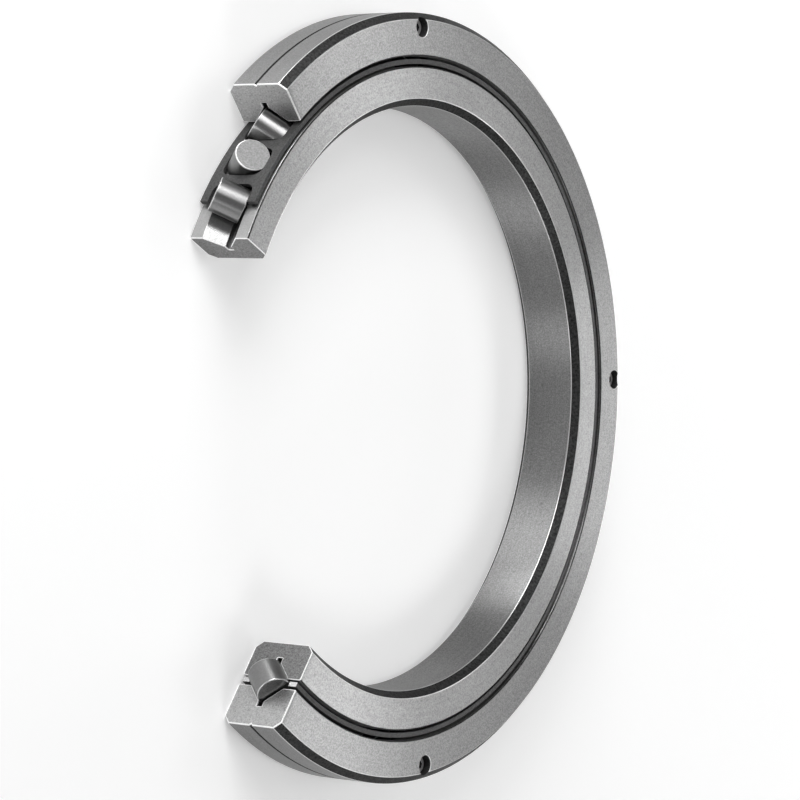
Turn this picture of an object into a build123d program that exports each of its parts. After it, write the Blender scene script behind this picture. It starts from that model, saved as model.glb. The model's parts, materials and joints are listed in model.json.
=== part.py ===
from build123d import *
from math import cos, radians, sin, sqrt
import os

# Crossed roller bearing, 300 mm bore, 395 mm outside diameter, 35 mm wide.
# It is a display piece: a sector is cut away to show the rollers, and each ring and
# the cage ends at its own angle.
# Millimetres. The origin is on the bearing's axis at half its width, and +Z leaves
# through the front face, the one with the screw heads. Angles are in degrees from +X,
# counter-clockwise seen from the front.

# Rings. A wall is what is left behind a relief slot. The walls and the rollers together
# bring the pitch circle to 345 mm and the outside to 395 mm.
bore_diameter = 300.0
width = 35.0
inner_wall = 8.655
outer_wall = 11.155
corner_chamfer = 3.7
land_edge_chamfer = 0.6
split_edge_chamfer = 0.35

# Rollers on the pitch circle, each turned 90 degrees to the next. They are a little
# shorter than they are thick, so that their ends clear the grooves.
roller_diameter = 17.5
roller_shorter_by = 1.9
roller_edge_chamfer = 0.5
roller_spacing_angle = 7.794

# Grooves: square to the rollers, with a relief slot along the bottom
roller_clearance = 0.05
slot_width = 3.0
slot_depth = 1.4

# Cage
cage_thickness = 2.5
cage_side_inset = 0.9
cage_edge_chamfer = 0.25
cage_gap_outside = 1.5
cage_gap_inside = 1.25
pocket_side_clearance = 0.25
pocket_end_clearance = 0.3
pocket_corner_radius = 5.0

# Cut-away sector: all pieces start together, and each ends at its own angle
cut_start_angle = -124.0
outer_ring_end_angle = 132.0
cage_end_angle = 149.3
inner_ring_end_angle = 155.5

# M5 x 20 cap screws that clamp the two halves of the outer ring
screw_first_angle = 5.4
screw_spacing_angle = 90.0
screw_places = (-1, 0, 1)
screw_diameter = 5.0
thread_engagement = 11.1
screw_tip_chamfer = 0.6
head_diameter = 8.5
head_height = 5.0
head_edge_chamfer = 0.4
socket_across_flats = 4.0
socket_depth = 2.6
head_sink = 3.6
head_side_clearance = 1.0
shank_clearance = 0.25
thread_clearance = 0.05
thread_depth_spare = 1.5
slot_to_hole_wall = 0.8

# Worked out from the sizes above
bore_radius = bore_diameter / 2
half_width = width / 2
slot_half = slot_width / 2
roller_length = roller_diameter - roller_shorter_by
groove_reach = (roller_diameter / 2 + roller_clearance) * sqrt(2)
inner_apex_radius = bore_radius + inner_wall + slot_depth
pitch_radius = inner_apex_radius + groove_reach
outer_apex_radius = pitch_radius + groove_reach
outer_radius = outer_apex_radius + slot_depth + outer_wall
cage_inner_radius = pitch_radius - cage_thickness / 2
cage_outer_radius = pitch_radius + cage_thickness / 2
cage_half_width = half_width - cage_side_inset
inner_land_radius = cage_inner_radius - cage_gap_inside
outer_land_radius = cage_outer_radius + cage_gap_outside
pocket_across = roller_diameter + 2 * pocket_side_clearance
pocket_length = (roller_diameter + roller_length) / sqrt(2) + 2 * pocket_end_clearance
clearance_hole_diameter = screw_diameter + 2 * shank_clearance
counterbore_diameter = head_diameter + 2 * head_side_clearance
counterbore_floor = half_width - head_sink - head_height
screw_length = counterbore_floor + thread_engagement
screw_circle_radius = outer_apex_radius + slot_depth + slot_to_hole_wall + clearance_hole_diameter / 2
screw_angles = [screw_first_angle + place * screw_spacing_angle for place in screw_places]
roller_count = int((cage_end_angle - cut_start_angle) / roller_spacing_angle) + 1
roller_angles = [cut_start_angle + i * roller_spacing_angle for i in range(roller_count)]


def around(radius, angle, height=0.0):
    """Point at a radius and an angle round the bearing's axis."""
    return Vector(radius * cos(radians(angle)), radius * sin(radians(angle)), height)


def turned(outline, end_angle):
    """Solid of revolution of an (r, z) outline, from the common cut to its own end."""
    section = Plane.XZ * make_face(Polyline(*outline, close=True))
    solid = revolve(section, axis=Axis.Z, revolution_arc=end_angle - cut_start_angle)
    return Rot(Z=cut_start_angle) * solid


def inner_ring():
    """One-piece ring with a V groove for the rollers round its outside."""
    front = [
        (bore_radius, half_width - corner_chamfer),
        (bore_radius + corner_chamfer, half_width),
        (inner_land_radius - land_edge_chamfer, half_width),
        (inner_land_radius, half_width - land_edge_chamfer),
        (inner_land_radius, inner_land_radius - inner_apex_radius),
        (inner_apex_radius + slot_half, slot_half),
        (inner_apex_radius - slot_depth, slot_half),
    ]
    back = [(r, -z) for r, z in reversed(front)]
    return turned(front + back, inner_ring_end_angle)


def outer_half():
    """Front half of the outer ring, with one side of the V groove, before its holes."""
    outline = [
        (outer_apex_radius + slot_depth, 0),
        (outer_radius - split_edge_chamfer, 0),
        (outer_radius, split_edge_chamfer),
        (outer_radius, half_width - corner_chamfer),
        (outer_radius - corner_chamfer, half_width),
        (outer_land_radius + land_edge_chamfer, half_width),
        (outer_land_radius, half_width - land_edge_chamfer),
        (outer_land_radius, outer_apex_radius - outer_land_radius),
        (outer_apex_radius - slot_half, slot_half),
        (outer_apex_radius + slot_depth, slot_half),
    ]
    return turned(outline, outer_ring_end_angle)


def drilled(diameter, bottom, top):
    """Drills for all the screw holes, from one height to another."""
    drill = Cylinder(diameter / 2, top - bottom, align=(Align.CENTER, Align.CENTER, Align.MIN))
    return [Pos(around(screw_circle_radius, a, bottom)) * drill for a in screw_angles]


def outer_ring_front():
    """Half with the counterbores. A counterbore runs out through the corner chamfer."""
    holes = drilled(clearance_hole_diameter, 0, counterbore_floor)
    counterbores = drilled(counterbore_diameter, counterbore_floor, half_width)
    return outer_half() - holes - counterbores


def outer_ring_rear():
    """Half with the tapped holes. The thread is drawn as a plain hole."""
    depth = thread_engagement + thread_depth_spare
    tapped = drilled(screw_diameter + 2 * thread_clearance, -depth, 0)
    return mirror(outer_half(), about=Plane.XY) - tapped


def roller_plane(index):
    """Plane at a roller's centre whose Z is the roller's axis."""
    angle = roller_angles[index]
    lean = 1 if index % 2 == 0 else -1
    axis = around(1, angle) + Vector(0, 0, lean)
    tangent = around(1, angle + 90)
    return Plane(origin=around(pitch_radius, angle), x_dir=tangent, z_dir=axis)


def roller(index):
    """Short cylinder on the pitch circle, leaning 45 degrees one way or the other."""
    blank = Cylinder(roller_diameter / 2, roller_length)
    rims = blank.edges().filter_by(GeomType.CIRCLE)
    return roller_plane(index) * chamfer(rims, roller_edge_chamfer)


def pocket(index):
    """Punch for one cage pocket, pointing straight out from the bearing's axis."""
    angle = roller_angles[index]
    outline = RectangleRounded(pocket_length, pocket_across, pocket_corner_radius)
    place = Plane(origin=around(pitch_radius, angle), x_dir=(0, 0, 1), z_dir=around(1, angle))
    return place * extrude(outline, amount=2 * cage_thickness, both=True)


def cage():
    """Thin band between the rings with a pocket for each roller."""
    front = [
        (cage_inner_radius, cage_half_width - cage_edge_chamfer),
        (cage_inner_radius + cage_edge_chamfer, cage_half_width),
        (cage_outer_radius - cage_edge_chamfer, cage_half_width),
        (cage_outer_radius, cage_half_width - cage_edge_chamfer),
    ]
    back = [(r, -z) for r, z in reversed(front)]
    return turned(front + back, cage_end_angle) - [pocket(i) for i in range(roller_count)]


def clamp_screw(angle):
    """Socket head cap screw, head towards the front. The thread is drawn plain."""
    floor = (Align.CENTER, Align.CENTER, Align.MIN)
    ceiling = (Align.CENTER, Align.CENTER, Align.MAX)
    head = Cylinder(head_diameter / 2, head_height, align=floor)
    rim = head.edges().filter_by(GeomType.CIRCLE).sort_by(Axis.Z)[-1:]
    head = chamfer(rim, head_edge_chamfer)
    shank = Cylinder(screw_diameter / 2, screw_length, align=ceiling)
    tip = shank.edges().filter_by(GeomType.CIRCLE).sort_by(Axis.Z)[:1]
    shank = chamfer(tip, screw_tip_chamfer)
    hexagon = RegularPolygon(socket_across_flats / 2, side_count=6, major_radius=False)
    socket = Pos(0, 0, head_height - socket_depth) * extrude(hexagon, amount=socket_depth)
    place = Pos(around(screw_circle_radius, angle, counterbore_floor))
    return place * (head + shank - socket)


nodes = {
    "inner_ring": inner_ring(),
    "outer_ring_front": outer_ring_front(),
    "outer_ring_rear": outer_ring_rear(),
    "cage": cage(),
}
for number, angle in enumerate(screw_angles, start=1):
    nodes[f"clamp_screw_{number}"] = clamp_screw(angle)
for index in range(roller_count):
    nodes[f"roller_{index + 1:02d}"] = roller(index)

os.makedirs("parts", exist_ok=True)
for name, shape in nodes.items():
    export_step(shape, f"parts/{name}.step")
print(f"{len(nodes)} pieces, {roller_count} of them rollers")
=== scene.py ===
import bmesh
import bpy
import json
import math
from mathutils import Matrix, Vector


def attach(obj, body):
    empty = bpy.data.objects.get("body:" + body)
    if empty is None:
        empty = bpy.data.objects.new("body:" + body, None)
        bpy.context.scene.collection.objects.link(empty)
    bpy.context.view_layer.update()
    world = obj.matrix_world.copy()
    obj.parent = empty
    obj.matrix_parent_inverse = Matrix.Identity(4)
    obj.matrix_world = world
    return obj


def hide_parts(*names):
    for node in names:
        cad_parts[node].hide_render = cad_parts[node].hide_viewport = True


# Crossed roller bearing, 300 x 395 x 35 mm, cut away to show its rollers. Sizes are in millimetres,
# angles in degrees round the bearing's axis. Blender works in metres.
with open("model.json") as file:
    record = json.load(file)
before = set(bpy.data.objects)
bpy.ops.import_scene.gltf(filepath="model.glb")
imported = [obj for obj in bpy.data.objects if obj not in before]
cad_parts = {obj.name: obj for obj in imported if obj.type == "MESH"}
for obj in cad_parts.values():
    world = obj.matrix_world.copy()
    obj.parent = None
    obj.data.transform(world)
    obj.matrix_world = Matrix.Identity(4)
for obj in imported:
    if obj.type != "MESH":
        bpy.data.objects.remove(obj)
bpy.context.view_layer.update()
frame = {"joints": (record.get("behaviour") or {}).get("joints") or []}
mm = 0.001
hair = 1e-6  # places nearer than this, in metres, count as the same
print("frame loaded")


# Camera: looks down on the open side from the left, tipped over by about a quarter turn
cameraView = {
    "place": (-1.34799, -0.01576, 0.93565),
    "turn": (-3.59628, -55.23474, 5.00421),
    "lens": 142.99,
}
cameraData = bpy.data.cameras.new("productCamera")
cameraData.lens = cameraView["lens"]
cameraData.sensor_width = 36
camera = bpy.data.objects.new("productCamera", cameraData)
camera.location = cameraView["place"]
camera.rotation_euler = [math.radians(a) for a in cameraView["turn"]]
bpy.context.scene.collection.objects.link(camera)
bpy.context.scene.camera = camera
bpy.context.scene.view_settings.view_transform = "Standard"
print("camera set")


# Selecting and editing, as by hand
def onlySelect(piece):
    bpy.ops.object.select_all(action="DESELECT")
    piece.select_set(True)
    bpy.context.view_layer.objects.active = piece


def selectIn(piece, kind, test):
    onlySelect(piece)
    bpy.ops.object.mode_set(mode="EDIT")
    bpy.ops.mesh.select_mode(type=kind)
    bpy.ops.mesh.select_all(action="DESELECT")
    mesh = bmesh.from_edit_mesh(piece.data)
    things = {"VERT": mesh.verts, "EDGE": mesh.edges, "FACE": mesh.faces}[kind]
    for thing in things:
        if test(thing):
            thing.select_set(True)
    bmesh.update_edit_mesh(piece.data)


def leaveEdit():
    bpy.ops.object.mode_set(mode="OBJECT")


def applyPlace(piece):
    onlySelect(piece)
    bpy.ops.object.transform_apply(location=True, rotation=True, scale=True)


def applyModifier(piece, kind, **settings):
    onlySelect(piece)
    modifier = piece.modifiers.new(kind.lower(), kind)
    for key, value in settings.items():
        setattr(modifier, key, value)
    bpy.ops.object.modifier_apply(modifier=modifier.name)


def turnAbout(piece, angle):
    piece.rotation_euler = (0, 0, math.radians(angle))
    applyPlace(piece)


def mergeAndFaceOut(piece):
    selectIn(piece, "VERT", lambda v: True)
    bpy.ops.mesh.remove_doubles(threshold=hair)
    bpy.ops.mesh.select_all(action="SELECT")
    bpy.ops.mesh.normals_make_consistent(inside=False)
    leaveEdit()


def smooth(piece, angle=28):
    # flat faces stay flat beside their small edge roundings
    onlySelect(piece)
    bpy.ops.object.shade_smooth_by_angle(angle=math.radians(angle))
    applyModifier(piece, "WEIGHTED_NORMAL", keep_sharp=True, weight=80)


def radiusOf(point):
    return math.hypot(point.x, point.y)


def outward(angle):
    return Vector((math.cos(math.radians(angle)), math.sin(math.radians(angle)), 0))


def inCut(point, angle):
    # true for a point in the half plane of a cut at that angle
    out = outward(angle)
    return abs(point.dot(Vector((-out.y, out.x, 0)))) < hair and point.dot(out) > 0


# Ring sections: a standing plane of (radius, height), cut by lines, then turned round the axis
def startSection(name, low, high):
    bpy.ops.object.select_all(action="DESELECT")
    middle = ((low[0] + high[0]) / 2 * mm, 0, (low[1] + high[1]) / 2 * mm)
    bpy.ops.mesh.primitive_plane_add(size=1, location=middle, rotation=(math.radians(90), 0, 0))
    piece = bpy.context.active_object
    piece.name = name
    piece.data.name = name
    piece.scale = ((high[0] - low[0]) * mm, (high[1] - low[1]) * mm, 1)
    applyPlace(piece)
    return piece


def scribe(piece, place, across):
    selectIn(piece, "FACE", lambda f: True)
    bpy.ops.mesh.bisect(
        plane_co=(place[0] * mm, 0, place[1] * mm), plane_no=(across[0], 0, across[1]),
        threshold=hair / 10)
    leaveEdit()


def dropFaces(piece, test):
    def isDropped(face):
        middle = face.calc_center_median()
        return test(middle.x / mm, middle.z / mm)

    selectIn(piece, "FACE", isDropped)
    bpy.ops.mesh.delete(type="FACE")
    bpy.ops.mesh.select_all(action="SELECT")
    bpy.ops.mesh.dissolve_limited(angle_limit=math.radians(1))
    leaveEdit()


def cutCorner(piece, radius, height, size):
    corner = Vector((radius * mm, 0, height * mm))
    selectIn(piece, "VERT", lambda v: (v.co - corner).length < 10 * hair)
    bpy.ops.mesh.bevel(affect="VERTICES", offset=size * mm, segments=1)
    leaveEdit()


def easeCorners(piece, size, segments=3, lowest=-100):
    # every sharp corner of the section above the lowest height gets a small rounding
    selectIn(piece, "VERT", lambda v: v.co.z > lowest * mm)
    bpy.ops.mesh.bevel(affect="VERTICES", offset=size * mm, segments=segments, profile=0.5)
    leaveEdit()


def isEased(out, up):
    # the main faces lie at 0, 45 and 90 degrees, and the roundings between them don't
    slope = math.degrees(math.atan2(up, out)) % 45
    return min(slope, 45 - slope) > 4


def spinSection(piece, start, end, stepAngle):
    turnAbout(piece, start)
    selectIn(piece, "FACE", lambda f: True)
    steps = round((end - start) / stepAngle)
    # spin turns clockwise for a positive angle
    bpy.ops.mesh.spin(steps=steps, angle=math.radians(start - end), center=(0, 0, 0), axis=(0, 0, 1))
    leaveEdit()
    mergeAndFaceOut(piece)


def deburrCuts(piece, angles, size):
    # the edges of the cut faces are broken by hand, but not along the joint of the two halves; their bevels
    # get a painted highlight later
    for angle in angles:
        def isBroken(edge):
            onCut = all(inCut(v.co, angle) for v in edge.verts)
            return onCut and any(abs(v.co.z) > hair for v in edge.verts)

        selectIn(piece, "EDGE", isBroken)
        bpy.ops.mesh.bevel(affect="EDGES", offset=size * mm, segments=2, profile=0.5)
        leaveEdit()


def giveMaterials(piece, rule):
    # rule gets radius, height and the face normal's parts: outward, upward and round the axis
    for face in piece.data.polygons:
        out = Vector((face.center.x, face.center.y, 0)).normalized()
        side = Vector((-out.y, out.x, 0))
        normal = face.normal
        chosen = rule(
            radiusOf(face.center) / mm, face.center.z / mm, normal.dot(out), normal.z, normal.dot(side))
        if chosen.name not in piece.data.materials:
            piece.data.materials.append(chosen)
        face.material_index = piece.data.materials.find(chosen.name)


# Materials
def linear(colour):
    parts = [int(colour[i:i + 2], 16) / 255 for i in (1, 3, 5)]
    return [c / 12.92 if c <= 0.04045 else ((c + 0.055) / 1.055) ** 2.4 for c in parts] + [1]


def addNode(tree, kind, inputs=None, **settings):
    node = tree.nodes.new(kind)
    for key, value in settings.items():
        setattr(node, key, value)
    for key, value in (inputs or {}).items():
        if isinstance(value, bpy.types.NodeSocket):
            tree.links.new(value, node.inputs[key])
        else:
            node.inputs[key].default_value = value
    return node


def startMaterial(name):
    material = bpy.data.materials.new(name)
    material.use_nodes = True
    tree = material.node_tree
    tree.nodes.clear()
    output = addNode(tree, "ShaderNodeOutputMaterial")
    shader = addNode(tree, "ShaderNodeBsdfPrincipled")
    tree.links.new(shader.outputs["BSDF"], output.inputs["Surface"])
    return material, tree, shader


# Sizes in mm of the patterns in the steels. Real pits and grinding lines are finer than a pixel, so
# they are drawn coarse enough to show. Clouds are the slow change in shine over a ground face.
patternSizes = {"pits": 1.5, "grindingLines": 0.9, "lineRun": 8, "clouds": 30}
black = linear("#000000")


def steel(name, dark, light, grain, roughness, spread=0.02, metallic=1.0, anisotropic=0.0,
          ownTurning=False, bumpDepth=0.0, contrast=0.35, pits=0.0, lay=0.0, cornerShade=None):
    # grain is the size in mm of the specks between the dark and the light colour, pits is how much
    # the sparse dark pits take away, and lay how much the fine lines of the grinding wheel do
    material, tree, shader = startMaterial(name)
    place = addNode(tree, "ShaderNodeTexCoord").outputs["Object"]
    specks = addNode(tree, "ShaderNodeTexNoise", {
        "Vector": place, "Scale": 1 / (grain * mm), "Detail": 2.0, "Roughness": 0.6})
    speckShare = addNode(tree, "ShaderNodeMapRange", {
        "Value": specks.outputs["Fac"], "From Min": 0.5 - contrast / 2, "From Max": 0.5 + contrast / 2})
    layers = [(speckShare, linear(light))]
    if pits:
        dots = addNode(tree, "ShaderNodeTexNoise", {
            "Vector": place, "Scale": 1 / (patternSizes["pits"] * mm), "Detail": 1.0, "Roughness": 0.5})
        pitShare = addNode(tree, "ShaderNodeMapRange", {
            "Value": dots.outputs["Fac"], "From Min": 0.66, "From Max": 0.72, "To Max": pits})
        layers.append((pitShare, black))
    if lay or cornerShade:
        flat = addNode(tree, "ShaderNodeVectorMath", {0: place, 1: (1, 1, 0)}, operation="MULTIPLY")
        radius = addNode(tree, "ShaderNodeVectorMath", {0: flat.outputs["Vector"]}, operation="LENGTH")
        parts = addNode(tree, "ShaderNodeSeparateXYZ", {"Vector": place})
    if lay:
        # lines: the same radius and height have nearly the same tone over a long arc
        turn = addNode(tree, "ShaderNodeMath", {
            0: parts.outputs["Y"], 1: parts.outputs["X"]}, operation="ARCTAN2")
        arc = addNode(tree, "ShaderNodeMath", {
            0: turn.outputs["Value"], 1: patternSizes["lineRun"] * mm}, operation="MULTIPLY")
        unrolled = addNode(tree, "ShaderNodeCombineXYZ", {
            "X": radius.outputs["Value"], "Y": arc.outputs["Value"], "Z": parts.outputs["Z"]})
        lines = addNode(tree, "ShaderNodeTexNoise", {
            "Vector": unrolled.outputs["Vector"], "Scale": 1 / (patternSizes["grindingLines"] * mm),
            "Detail": 3.0, "Roughness": 0.7})
        lineShare = addNode(tree, "ShaderNodeMapRange", {
            "Value": lines.outputs["Fac"], "From Min": 0.4, "From Max": 0.7, "To Max": lay})
        layers.append((lineShare, black))
    if cornerShade:
        # painted shade: a darker spot in the section, which fades out over its reach
        section = addNode(tree, "ShaderNodeCombineXYZ", {
            "X": radius.outputs["Value"], "Z": parts.outputs["Z"]})
        away = addNode(tree, "ShaderNodeVectorMath", {
            0: section.outputs["Vector"], 1: (cornerShade["radius"] * mm, 0, cornerShade["height"] * mm)},
            operation="DISTANCE")
        cornerShadeShare = addNode(tree, "ShaderNodeMapRange", {
            "Value": away.outputs["Value"], "From Min": 0.0, "From Max": cornerShade["reach"] * mm,
            "To Min": cornerShade["amount"], "To Max": 0.0}, interpolation_type="SMOOTHSTEP")
        layers.append((cornerShadeShare, black))
    colour = linear(dark)
    for share, paint in layers:
        # sockets 6 and 7 are the two colours to mix, and the third output is the mixed colour
        mix = addNode(tree, "ShaderNodeMix", {
            "Factor": share.outputs["Result"], 6: colour, 7: paint}, data_type="RGBA")
        colour = mix.outputs[2]
    tree.links.new(colour, shader.inputs["Base Color"])
    clouds = addNode(tree, "ShaderNodeTexNoise", {
        "Vector": place, "Scale": 1 / (patternSizes["clouds"] * mm), "Detail": 3.0, "Roughness": 0.5})
    shine = addNode(tree, "ShaderNodeMapRange", {
        "Value": clouds.outputs["Fac"], "From Min": 0.3, "From Max": 0.7,
        "To Min": roughness - spread, "To Max": roughness + spread})
    tree.links.new(shine.outputs["Result"], shader.inputs["Roughness"])
    shader.inputs["Metallic"].default_value = metallic
    if bumpDepth:
        bump = addNode(tree, "ShaderNodeBump", {
            "Height": specks.outputs["Fac"], "Distance": bumpDepth * mm, "Strength": 1.0})
        tree.links.new(bump.outputs["Normal"], shader.inputs["Normal"])
    if ownTurning:
        # scratches run round the piece itself, so the tangent comes from its UV map
        tangent = addNode(tree, "ShaderNodeTangent", direction_type="UV_MAP", uv_map="UVMap")
        tree.links.new(tangent.outputs["Tangent"], shader.inputs["Tangent"])
    elif anisotropic:
        # scratches run round the bearing's axis: the tangent is square to the radius
        around = addNode(tree, "ShaderNodeVectorMath", {
            0: (0, 0, 1), 1: place}, operation="CROSS_PRODUCT")
        unit = addNode(tree, "ShaderNodeVectorMath", {0: around.outputs["Vector"]}, operation="NORMALIZE")
        turned = addNode(tree, "ShaderNodeVectorTransform", {"Vector": unit.outputs["Vector"]},
                         vector_type="VECTOR", convert_from="OBJECT", convert_to="WORLD")
        tree.links.new(turned.outputs["Vector"], shader.inputs["Tangent"])
    if anisotropic:
        shader.inputs["Anisotropic"].default_value = anisotropic
        shader.inputs["Anisotropic Rotation"].default_value = 0.25
    return material


# Bearing steel, face ground: a bow of light on either side of the ring, and a fine even grain.
# The grain of a ground face is too fine to show at this size, so it is drawn 0.75 mm coarse.
groundSteel = steel(
    "groundOuterFaceSteel", "#868686", "#B0B0B0", 0.75, 0.36,
    anisotropic=0.85, contrast=0.4, pits=0.3, lay=0.12)
groundInner = steel(
    "groundInnerFaceSteel", "#909090", "#BABABA", 0.75, 0.36,
    anisotropic=0.87, contrast=0.4, pits=0.3, lay=0.12)
# Bore and outside are ground with a coarser wheel, so their light is wider and softer
groundBore = steel(
    "groundBoreSteel", "#848484", "#ACACAC", 0.75, 0.46,
    anisotropic=1.0, contrast=0.4, pits=0.25, lay=0.12)
groundOutside = steel(
    "groundOutsideSteel", "#7C7C7C", "#989898", 0.75, 0.48,
    anisotropic=0.6, contrast=0.4, pits=0.15, lay=0.12)
# The inner ring's lands beside the groove are bright from the last pass of the wheel
groundLand = steel(
    "groundLandSteel", "#AAAAAA", "#BCBCBC", 0.75, 0.42, anisotropic=0.6, contrast=0.4, lay=0.08)
# Chamfers keep the dark skin of the heat treatment, mottled and dull. The same dark steel on the land-edge
# chamfers beside the gap between the rings is painted shade.
scaledChamferAndGapShade = steel(
    "scaledChamferAndGapShadeSteel", "#262626", "#505050", 1.4, 0.58, 0.05, contrast=0.5, pits=0.4)
# The cut faces were sawn and then rubbed flat: light, matt and finely pitted. A darker corner in the
# outer ring's section, beside the front of the groove, is painted shade.
cutOuter = steel(
    "rubbedSectionSteel", "#9C9C9C", "#CACACA", 0.8, 0.55, 0.03, bumpDepth=0.01, contrast=0.45, pits=0.3,
    cornerShade={"radius": 178, "height": 12.5, "reach": 12, "amount": 0.55})
cutInner = steel(
    "sawnSectionSteel", "#666666", "#9C9C9C", 0.8, 0.52, 0.03, bumpDepth=0.01, contrast=0.45, pits=0.35)
# Edges broken with a stone are painted near white, a painted highlight, so they read as thin white lines
paintedGlintEdge = steel("stonedEdgePaintedGlint", "#F0F0F0", "#FFFFFF", 0.8, 0.4, metallic=0.45)
# Roundings rubbed over with emery glint where they face a lamp
easedEdge = steel("easedEdgeSteel", "#C8C8C8", "#D6D6D6", 0.8, 0.32)
# Raceways are superfinished: a soft mirror for the rollers and the lamps
raceway = steel("superfinishedRaceway", "#949494", "#A2A2A2", 1.2, 0.24, anisotropic=0.5)
# Turned slots and holes stay dull and dark
slotSteel = steel("turnedSlotSteel", "#808080", "#9A9A9A", 0.9, 0.45, 0.03)
# Holes are painted nearly black as painted shade, so the screws sit in nearly black holes
paintedHoleShade = steel("counterborePaintedShade", "#303030", "#484848", 0.9, 0.5, 0.03, metallic=0.6)
# The joint of the two halves has its edges painted nearly black: painted shade in the V between them
jointShade = steel("jointEdgePaintedShade", "#121212", "#1E1E1E", 0.8, 0.5, metallic=0.4)
# The cage is phosphated sheet steel: charcoal grey and matt
phosphated = steel(
    "phosphatedCageSteel", "#3A3A3A", "#5C5C5C", 1.0, 0.55, 0.04,
    metallic=0.55, bumpDepth=0.012, contrast=0.5)
# Where the cage was cut through, bare steel shows
cageCut = steel("cutCageSteel", "#C4C4C4", "#E4E4E4", 0.7, 0.45, metallic=0.55)
# Roller flanks are honed round: smooth bands of light and dark along the roller
honedRoller = steel(
    "honedRollerSteel", "#868686", "#8E8E8E", 1.0, 0.3, 0.01, anisotropic=0.4, ownTurning=True)
# Roller ends are ground crosswise and satin
rollerEnd = steel("groundRollerEndSteel", "#767676", "#9A9A9A", 0.9, 0.31, 0.02, contrast=0.5, pits=0.2)
# Cap screws are oiled steel: dark in their holes, with a soft grey sheen on the heads
oiledScrew = steel("oiledScrewSteel", "#8E8E8E", "#A4A4A4", 0.6, 0.48, 0.04, metallic=0.4)
print("materials made")


# Rings. The rim is the side away from the rollers: the bore, or the outside.
innerRingSizes = {
    "bore": 150.0, "land": 170.0, "halfWidth": 17.5, "chamfer": 3.7, "landEdge": 0.6,
    "grooveApex": 160.055, "slotHalf": 1.5, "slotDepth": 1.4,
    "start": -124.0, "end": 155.5, "stepAngle": 1.0, "edgeRound": 0.28, "deburr": 0.45,
}
outerRingSizes = {
    "land": 175.25, "outside": 197.5, "halfWidth": 17.5, "chamfer": 3.7, "landEdge": 0.6,
    "splitEdge": 0.8, "grooveApex": 184.945, "slotHalf": 1.5, "slotDepth": 1.4,
    "start": -124.0, "end": 132.0, "stepAngle": 1.0, "edgeRound": 0.28, "deburr": 0.6,
}
innerRingSteels = {"cut": cutInner, "face": groundInner, "rim": groundBore, "land": groundLand}
outerRingSteels = {"cut": cutOuter, "face": groundSteel, "rim": groundOutside, "land": groundSteel}
# how one finish is told from the next: by how far a face looks one way, and by slack in mm
finishLimits = {
    "cutFacing": 0.98, "brokenFacing": 0.03, "flatFacing": 0.9,
    "slotSlack": 0.02, "levelSlack": 0.05, "chamferSlack": 0.1, "edgeSlack": 0.2, "easedSlack": 0.4,
}


def finishRing(ring, s, rim, steels):
    limits = finishLimits
    slotMouth = abs(s["grooveApex"] - rim) + s["slotHalf"]
    deburrCuts(ring, (s["start"], s["end"]), s["deburr"])

    def rule(r, z, out, up, side):
        fromRim = abs(r - rim)
        fromFace = s["halfWidth"] - abs(z)
        fromCorner = max(fromRim, fromFace)
        if abs(side) > limits["cutFacing"]:
            return steels["cut"]
        # bevels along the cut edges get a near-white painted highlight
        if abs(side) > limits["brokenFacing"]:
            return paintedGlintEdge
        if isEased(out, up) and fromCorner < s["chamfer"] + limits["easedSlack"]:
            return easedEdge
        if abs(up) > limits["flatFacing"] and fromFace < limits["levelSlack"]:
            return steels["face"]
        if fromCorner < s["chamfer"] + limits["chamferSlack"]:
            return scaledChamferAndGapShade
        # the chamfers along the joint of the two halves are painted black: painted shade
        if "splitEdge" in s and max(fromRim, abs(z)) < s["splitEdge"] + limits["chamferSlack"]:
            return jointShade
        if fromRim < limits["edgeSlack"]:
            return steels["rim"]
        if fromRim < slotMouth + limits["slotSlack"] and abs(z) < s["slotHalf"] + limits["slotSlack"]:
            return slotSteel
        if abs(out) > limits["flatFacing"]:
            return steels["land"]
        # land-edge chamfers by the gap between the rings get the dark chamfer steel as painted shade
        if fromFace < s["landEdge"] + limits["edgeSlack"]:
            return scaledChamferAndGapShade
        return raceway

    giveMaterials(ring, rule)


def makeInnerRing(s):
    # one piece, with a V groove for the rollers and a relief slot along the groove's bottom
    ring = startSection("innerRing", (s["bore"], -s["halfWidth"]), (s["land"], s["halfWidth"]))
    slotFloor = s["grooveApex"] - s["slotDepth"]
    for side in (1, -1):
        scribe(ring, (s["grooveApex"], 0), (1, -side))
        scribe(ring, (0, side * s["slotHalf"]), (0, 1))
    scribe(ring, (slotFloor, 0), (1, 0))
    dropFaces(
        ring, lambda r, z: r > s["grooveApex"] + abs(z) or (r > slotFloor and abs(z) < s["slotHalf"]))
    for side in (1, -1):
        cutCorner(ring, s["bore"], side * s["halfWidth"], s["chamfer"])
        cutCorner(ring, s["land"], side * s["halfWidth"], s["landEdge"])
    easeCorners(ring, s["edgeRound"])
    spinSection(ring, s["start"], s["end"], s["stepAngle"])
    finishRing(ring, s, s["bore"], innerRingSteels)
    smooth(ring)
    return ring


def startOuterHalf(name, s):
    # the section of the front half, with one side of the V groove
    half = startSection(name, (s["land"], 0), (s["outside"], s["halfWidth"]))
    slotFloor = s["grooveApex"] + s["slotDepth"]
    scribe(half, (s["grooveApex"], 0), (1, 1))
    scribe(half, (0, s["slotHalf"]), (0, 1))
    scribe(half, (slotFloor, 0), (1, 0))
    dropFaces(
        half, lambda r, z: r < s["grooveApex"] - abs(z) or (r < slotFloor and abs(z) < s["slotHalf"]))
    cutCorner(half, s["outside"], s["halfWidth"], s["chamfer"])
    cutCorner(half, s["land"], s["halfWidth"], s["landEdge"])
    cutCorner(half, s["outside"], 0, s["splitEdge"])
    # the edges of the joint stay sharp
    easeCorners(half, s["edgeRound"], lowest=1)
    return half


def copyPiece(piece, name):
    onlySelect(piece)
    bpy.ops.object.duplicate()
    copy = bpy.context.active_object
    copy.name = name
    copy.data.name = name
    return copy


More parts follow.
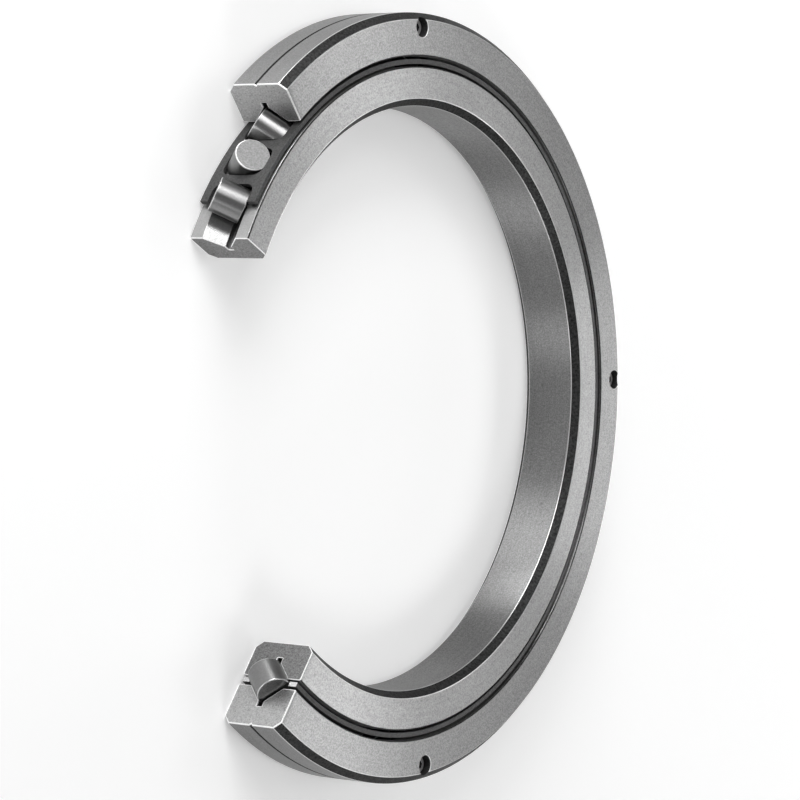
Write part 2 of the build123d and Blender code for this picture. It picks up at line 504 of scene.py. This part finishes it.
innerRing = makeInnerRing(innerRingSizes)
frontHalf = startOuterHalf("outerRingFront", outerRingSizes)
rearHalf = copyPiece(frontHalf, "outerRingRear")
rearHalf.scale = (1, 1, -1)
applyPlace(rearHalf)
for half in (frontHalf, rearHalf):
    spinSection(half, outerRingSizes["start"], outerRingSizes["end"], outerRingSizes["stepAngle"])
    finishRing(half, outerRingSizes, outerRingSizes["outside"], outerRingSteels)
print("rings turned")


# Screw holes, and the cap screws in them
screwSizes = {
    "angles": (-84.6, 5.4, 95.4), "circle": 189.895, "counterbore": 10.5, "floor": 8.9, "clearance": 5.5,
    "tapped": 5.1, "tappedDepth": 12.6, "flare": 0.25, "counterboreSides": 48, "holeSides": 32, "overlap": 1,
    "head": 8.5, "headHeight": 5.0, "headEdge": 0.4, "knurls": 36, "knurlDepth": 0.12,
    "socket": 4.0, "socketDepth": 2.6, "pointRim": 0.15, "pointDepth": 0.7, "pointEnd": 0.1,
    "shank": 5.0, "threadEnd": -11.1, "tip": 0.6,
}


def addCylinder(name, diameter, low, high, sides, place=(0, 0)):
    bpy.ops.object.select_all(action="DESELECT")
    bpy.ops.mesh.primitive_cylinder_add(
        vertices=sides, radius=diameter / 2 * mm, depth=(high - low) * mm,
        location=(place[0] * mm, place[1] * mm, (low + high) / 2 * mm))
    piece = bpy.context.active_object
    piece.name = name
    applyPlace(piece)
    return piece


def removeTool(tool):
    bpy.data.objects.remove(tool, do_unlink=True)


def drill(piece, tool):
    # material slots of the tool come with its faces
    applyModifier(
        piece, "BOOLEAN", operation="DIFFERENCE", object=tool, solver="EXACT", material_mode="TRANSFER")
    removeTool(tool)


def roundTheCircle(tool, angles):
    # one tool, copied to each angle and joined to one piece
    copies = []
    for angle in angles:
        onlySelect(tool)
        bpy.ops.object.duplicate()
        copy = bpy.context.active_object
        turnAbout(copy, angle)
        copies.append(copy)
    removeTool(tool)
    onlySelect(copies[0])
    for copy in copies:
        copy.select_set(True)
    bpy.ops.object.join()
    return bpy.context.active_object


def makeScrewHoles(s):
    axis = (s["circle"], 0)
    flareStart = outerRingSizes["halfWidth"] - s["flare"]
    front = addCylinder(
        "counterboreTool", s["counterbore"], s["floor"], flareStart, s["counterboreSides"], axis)
    selectIn(front, "FACE", lambda f: f.normal.z > 0.9)
    # the flare widens at 45 degrees and goes on past the face, for a clean cut
    grow = (s["counterbore"] + 4 * s["flare"]) / s["counterbore"]
    bpy.ops.mesh.extrude_region_move(TRANSFORM_OT_translate={"value": (0, 0, 2 * s["flare"] * mm)})
    bpy.ops.transform.resize(value=(grow, grow, 1), center_override=(s["circle"] * mm, 0, 0))
    leaveEdit()
    # counterbore walls are painted nearly black: painted shade
    for material in (paintedHoleShade, paintedGlintEdge):
        front.data.materials.append(material)
    # the flare faces are painted near white: a painted highlight round each counterbore
    for face in front.data.polygons:
        if face.center.z > flareStart * mm and abs(face.normal.z) < 0.9:
            face.material_index = 1
    drill(frontHalf, roundTheCircle(front, s["angles"]))
    clearance = addCylinder(
        "clearanceTool", s["clearance"], -s["overlap"], s["floor"] + s["overlap"], s["holeSides"], axis)
    # the clearance holes are painted nearly black too: painted shade
    clearance.data.materials.append(paintedHoleShade)
    drill(frontHalf, roundTheCircle(clearance, s["angles"]))
    tapped = addCylinder(
        "tappedTool", s["tapped"], -s["tappedDepth"], s["overlap"], s["holeSides"], axis)
    tapped.data.materials.append(slotSteel)
    drill(rearHalf, roundTheCircle(tapped, s["angles"]))


makeScrewHoles(screwSizes)
smooth(frontHalf)
smooth(rearHalf)


def makeScrew(s):
    top = s["floor"] + s["headHeight"]
    screw = addCylinder("capScrew", s["head"], s["floor"], top, 2 * s["knurls"], (s["circle"], 0))
    selectIn(screw, "EDGE", lambda e: all(v.co.z > top * mm - hair for v in e.verts))
    bpy.ops.mesh.bevel(affect="EDGES", offset=s["headEdge"] * mm, segments=3)
    leaveEdit()
    # straight knurl: every second line of the head's side is pushed in
    centre = Vector((s["circle"] * mm, 0, 0))

    def isValley(v):
        flat = Vector((v.co.x, v.co.y, 0)) - centre
        step = math.degrees(math.atan2(flat.y, flat.x)) / (180 / s["knurls"])
        return flat.length > s["head"] / 2 * mm - 10 * hair and round(step) % 2 == 1

    selectIn(screw, "VERT", isValley)
    pushed = 1 - 2 * s["knurlDepth"] / s["head"]
    bpy.ops.transform.resize(value=(pushed, pushed, 1), center_override=centre)
    leaveEdit()
    # shank, drawn plain: its thread is hidden in the holes
    selectIn(screw, "FACE", lambda f: f.normal.z < -0.9)
    bpy.ops.mesh.inset(thickness=(s["head"] - s["shank"]) / 2 * mm)
    down = (0, 0, (s["threadEnd"] - s["floor"]) * mm)
    bpy.ops.mesh.extrude_region_move(TRANSFORM_OT_translate={"value": down})
    leaveEdit()
    selectIn(screw, "EDGE", lambda e: all(v.co.z < s["threadEnd"] * mm + hair for v in e.verts))
    bpy.ops.mesh.bevel(affect="EDGES", offset=s["tip"] * mm, segments=1)
    leaveEdit()
    # hexagon socket with a drilled point
    acrossCorners = s["socket"] / math.cos(math.radians(30))
    socket = addCylinder(
        "socketTool", acrossCorners, top - s["socketDepth"], top + s["overlap"], 6, (s["circle"], 0))
    selectIn(socket, "FACE", lambda f: f.normal.z < -0.9)
    bpy.ops.mesh.inset(thickness=s["pointRim"] * mm)
    bpy.ops.mesh.extrude_region_move(TRANSFORM_OT_translate={"value": (0, 0, -s["pointDepth"] * mm)})
    bpy.ops.transform.resize(value=(s["pointEnd"], s["pointEnd"], 1), center_override=centre)
    leaveEdit()
    screw.data.materials.append(oiledScrew)
    # the hex socket is painted nearly black: painted shade
    socket.data.materials.append(paintedHoleShade)
    drill(screw, socket)
    mergeAndFaceOut(screw)
    smooth(screw)
    return screw


screwPattern = makeScrew(screwSizes)
screws = []
for number, angle in enumerate(screwSizes["angles"], start=1):
    screw = copyPiece(screwPattern, f"capScrew{number}")
    turnAbout(screw, angle)
    screws.append(screw)
removeTool(screwPattern)
print("screws made")


# Cage
cageSizes = {
    "inside": 171.25, "outside": 173.75, "halfWidth": 16.6, "edge": 0.25,
    "start": -124.0, "end": 149.3, "stepAngle": 1.0, "punchDepth": 8,
    "pocketLength": 24.005, "pocketAcross": 18.0, "pocketCorner": 5.0, "spacing": 7.794, "rollers": 36,
}


def makeCage(s):
    band = startSection("cageBand", (s["inside"], -s["halfWidth"]), (s["outside"], s["halfWidth"]))
    easeCorners(band, s["edge"], 2)
    spinSection(band, s["start"], s["end"], s["stepAngle"])
    middle = (s["inside"] + s["outside"]) / 2
    bpy.ops.object.select_all(action="DESELECT")
    bpy.ops.mesh.primitive_cube_add(size=1, location=(middle * mm, 0, 0))
    punch = bpy.context.active_object
    punch.name = "pocketPunch"
    punch.scale = (s["punchDepth"] * mm, s["pocketAcross"] * mm, s["pocketLength"] * mm)
    applyPlace(punch)
    # the four edges through the band become the pocket's round corners
    selectIn(punch, "EDGE", lambda e: abs((e.verts[0].co - e.verts[1].co).normalized().x) > 0.99)
    bpy.ops.mesh.bevel(affect="EDGES", offset=s["pocketCorner"] * mm, segments=8)
    leaveEdit()
    band.data.materials.append(phosphated)
    punch.data.materials.append(phosphated)
    drill(band, roundTheCircle(punch, [s["start"] + i * s["spacing"] for i in range(s["rollers"])]))
    # only the lower cut gets bright bare steel; the upper cut keeps the band's dark colour as painted shade
    band.data.materials.append(cageCut)
    for face in band.data.polygons:
        if inCut(face.center, s["start"]):
            face.material_index = 1
    smooth(band)
    return band


cage = makeCage(cageSizes)
print("cage punched")


# Rollers: one is made, then copied to each place
rollerSizes = {"diameter": 17.5, "length": 15.6, "edge": 0.5, "sides": 80}


def makeRoller(s):
    half = s["length"] / 2
    roller = addCylinder("rollerPattern", s["diameter"], -half, half, s["sides"])
    selectIn(roller, "EDGE", lambda e: abs(e.verts[0].co.z - e.verts[1].co.z) < hair)
    bpy.ops.mesh.bevel(affect="EDGES", offset=s["edge"] * mm, segments=4)
    leaveEdit()
    for material in (honedRoller, rollerEnd, easedEdge):
        roller.data.materials.append(material)
    for face in roller.data.polygons:
        if abs(face.normal.z) > 0.99:
            face.material_index = 1
        elif abs(face.normal.z) > 0.05:
            face.material_index = 2
    smooth(roller, 40)
    return roller


rollerPattern = makeRoller(rollerSizes)
rollers = []
# each roller's joint in the frame gives its place and its axis
for joint in frame["joints"]:
    if not joint["name"].startswith("roller_"):
        continue
    roller = copyPiece(rollerPattern, "roller" + joint["name"].split("_")[1])
    lean = Vector(joint["axis"]).normalized().to_track_quat("Z", "Y")
    roller.matrix_world = Matrix.Translation(joint["pos_m"]) @ lean.to_matrix().to_4x4()
    applyPlace(roller)
    rollers.append((roller, joint["child"]))
removeTool(rollerPattern)
print("rollers placed:", len(rollers))


# What each piece stands for, and what it rides on
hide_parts("inner_ring")
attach(innerRing, "inner_ring")
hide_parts("outer_ring_front")
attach(frontHalf, "outer_ring")
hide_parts("outer_ring_rear")
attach(rearHalf, "outer_ring")
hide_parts("cage")
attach(cage, "cage")
for number, screw in enumerate(screws, start=1):
    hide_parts(f"clamp_screw_{number}")
    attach(screw, "outer_ring")
for roller, body in rollers:
    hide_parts(body)
    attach(roller, body)


# Floor, light and background
studio = {
    "floorSize": 20.0, "floorHeight": -17.5,
    "nearGlow": 0.25, "farGlow": 0.85, "fadeFrom": 0.5, "fadeTo": 1.8,
}
bpy.ops.object.select_all(action="DESELECT")
bpy.ops.mesh.primitive_plane_add(size=studio["floorSize"], location=(0, 0, studio["floorHeight"] * mm))
floor = bpy.context.active_object
floor.name = "studioFloor"
applyPlace(floor)
floorMaterial, tree, shader = startMaterial("whitePaperSweep")
shader.inputs["Base Color"].default_value = linear("#F2F2F2")
shader.inputs["Roughness"].default_value = 0.9
# white paper: the lamps light it round the bearing, and further out it keeps the same white by itself
place = addNode(tree, "ShaderNodeTexCoord").outputs["Object"]
away = addNode(tree, "ShaderNodeVectorMath", {0: place}, operation="LENGTH")
fade = addNode(tree, "ShaderNodeMapRange", {
    "Value": away.outputs["Value"], "From Min": studio["fadeFrom"], "From Max": studio["fadeTo"],
    "To Min": studio["nearGlow"], "To Max": studio["farGlow"]}, interpolation_type="SMOOTHSTEP")
shader.inputs["Emission Color"].default_value = (1, 1, 1, 1)
tree.links.new(fade.outputs["Result"], shader.inputs["Emission Strength"])
floor.data.materials.append(floorMaterial)

# softboxes stand round the bearing and face it: azimuth, elevation, width, height in m, power in W
softboxes = {
    "keyLowSoftbox": (105, 4, 0.5, 0.5, 16.8),
    "keySoftbox": (120, 24, 0.5, 0.5, 8.4),
    "topStrip": (139, 41, 1.2, 0.4, 5.0),
    "frontKeySoftbox": (135, 24, 0.5, 0.5, 6.6),
    "leftPanel": (88, 33, 1.5, 0.8, 2.4),
    "frontLowSoftbox": (207, 4, 0.5, 0.5, 3.6),
    "backLowSoftbox": (0, 12, 0.5, 0.5, 4.4),
    "backTopSoftbox": (0, 38, 0.5, 0.5, 1.7),
    "backLeftSoftbox": (30, 38, 0.5, 0.5, 3.2),
    "backRightSoftbox": (330, 38, 0.5, 0.5, 3.7),
    "rightSoftbox": (270, 38, 0.5, 0.5, 5.3),
}
lampDistance = 1.8  # m, from the bearing's centre
for name, (azimuth, elevation, wide, high, power) in softboxes.items():
    lightData = bpy.data.lights.new(name, "AREA")
    lightData.shape = "RECTANGLE"
    lightData.size = wide
    lightData.size_y = high
    lightData.energy = power
    light = bpy.data.objects.new(name, lightData)
    level = math.radians(elevation)
    light.location = lampDistance * (outward(azimuth) * math.cos(level) + Vector((0, 0, math.sin(level))))
    light.rotation_euler = (-light.location).to_track_quat("-Z", "Y").to_euler()
    light.visible_camera = False
    bpy.context.scene.collection.objects.link(light)

# Pale walls up to a low height, with a dark ceiling above them. A taller grey wall on the right and a
# grey patch straight overhead keep the ground faces from going black in the other views.
wallTones = {
    "wall": 0.18, "ceiling": 0.01, "wallTop": (0.06, 0.2),
    "fill": 0.3, "fillAzimuth": 247, "fillSides": (0.0, 0.35), "fillTop": (0.7, 0.9),
    "overhead": 0.7, "overheadEdge": (0.9, 0.97),
}
world = bpy.data.worlds.new("paleStudio")
world.use_nodes = True
bpy.context.scene.world = world
tree = world.node_tree
tree.nodes.clear()
way = addNode(tree, "ShaderNodeTexCoord").outputs["Generated"]
height = addNode(tree, "ShaderNodeSeparateXYZ", {"Vector": way})
low = addNode(tree, "ShaderNodeMapRange", {
    "Value": height.outputs["Z"],
    "From Min": wallTones["wallTop"][0], "From Max": wallTones["wallTop"][1],
    "To Min": wallTones["wall"], "To Max": wallTones["ceiling"]}, interpolation_type="SMOOTHSTEP")
toRight = addNode(tree, "ShaderNodeVectorMath", {
    0: way, 1: outward(wallTones["fillAzimuth"])}, operation="DOT_PRODUCT")
sides = addNode(tree, "ShaderNodeMapRange", {
    "Value": toRight.outputs["Value"], "From Min": wallTones["fillSides"][0],
    "From Max": wallTones["fillSides"][1], "To Min": 0.0, "To Max": wallTones["fill"]},
    interpolation_type="SMOOTHSTEP")
top = addNode(tree, "ShaderNodeMapRange", {
    "Value": height.outputs["Z"],
    "From Min": wallTones["fillTop"][0], "From Max": wallTones["fillTop"][1],
    "To Min": 1.0, "To Max": 0.0}, interpolation_type="SMOOTHSTEP")
tall = addNode(tree, "ShaderNodeMath", {
    0: sides.outputs["Result"], 1: top.outputs["Result"]}, operation="MULTIPLY")
walls = addNode(tree, "ShaderNodeMath", {
    0: low.outputs["Result"], 1: tall.outputs["Value"]}, operation="ADD")
overhead = addNode(tree, "ShaderNodeMapRange", {
    "Value": height.outputs["Z"],
    "From Min": wallTones["overheadEdge"][0], "From Max": wallTones["overheadEdge"][1],
    "To Min": 0.0, "To Max": wallTones["overhead"]}, interpolation_type="SMOOTHSTEP")
tones = addNode(tree, "ShaderNodeMath", {
    0: walls.outputs["Value"], 1: overhead.outputs["Result"]}, operation="ADD")
room = addNode(tree, "ShaderNodeBackground", {"Color": (1, 1, 1, 1), "Strength": tones.outputs["Value"]})
addNode(tree, "ShaderNodeOutputWorld", {"Surface": room.outputs["Background"]})
print("studio lit")
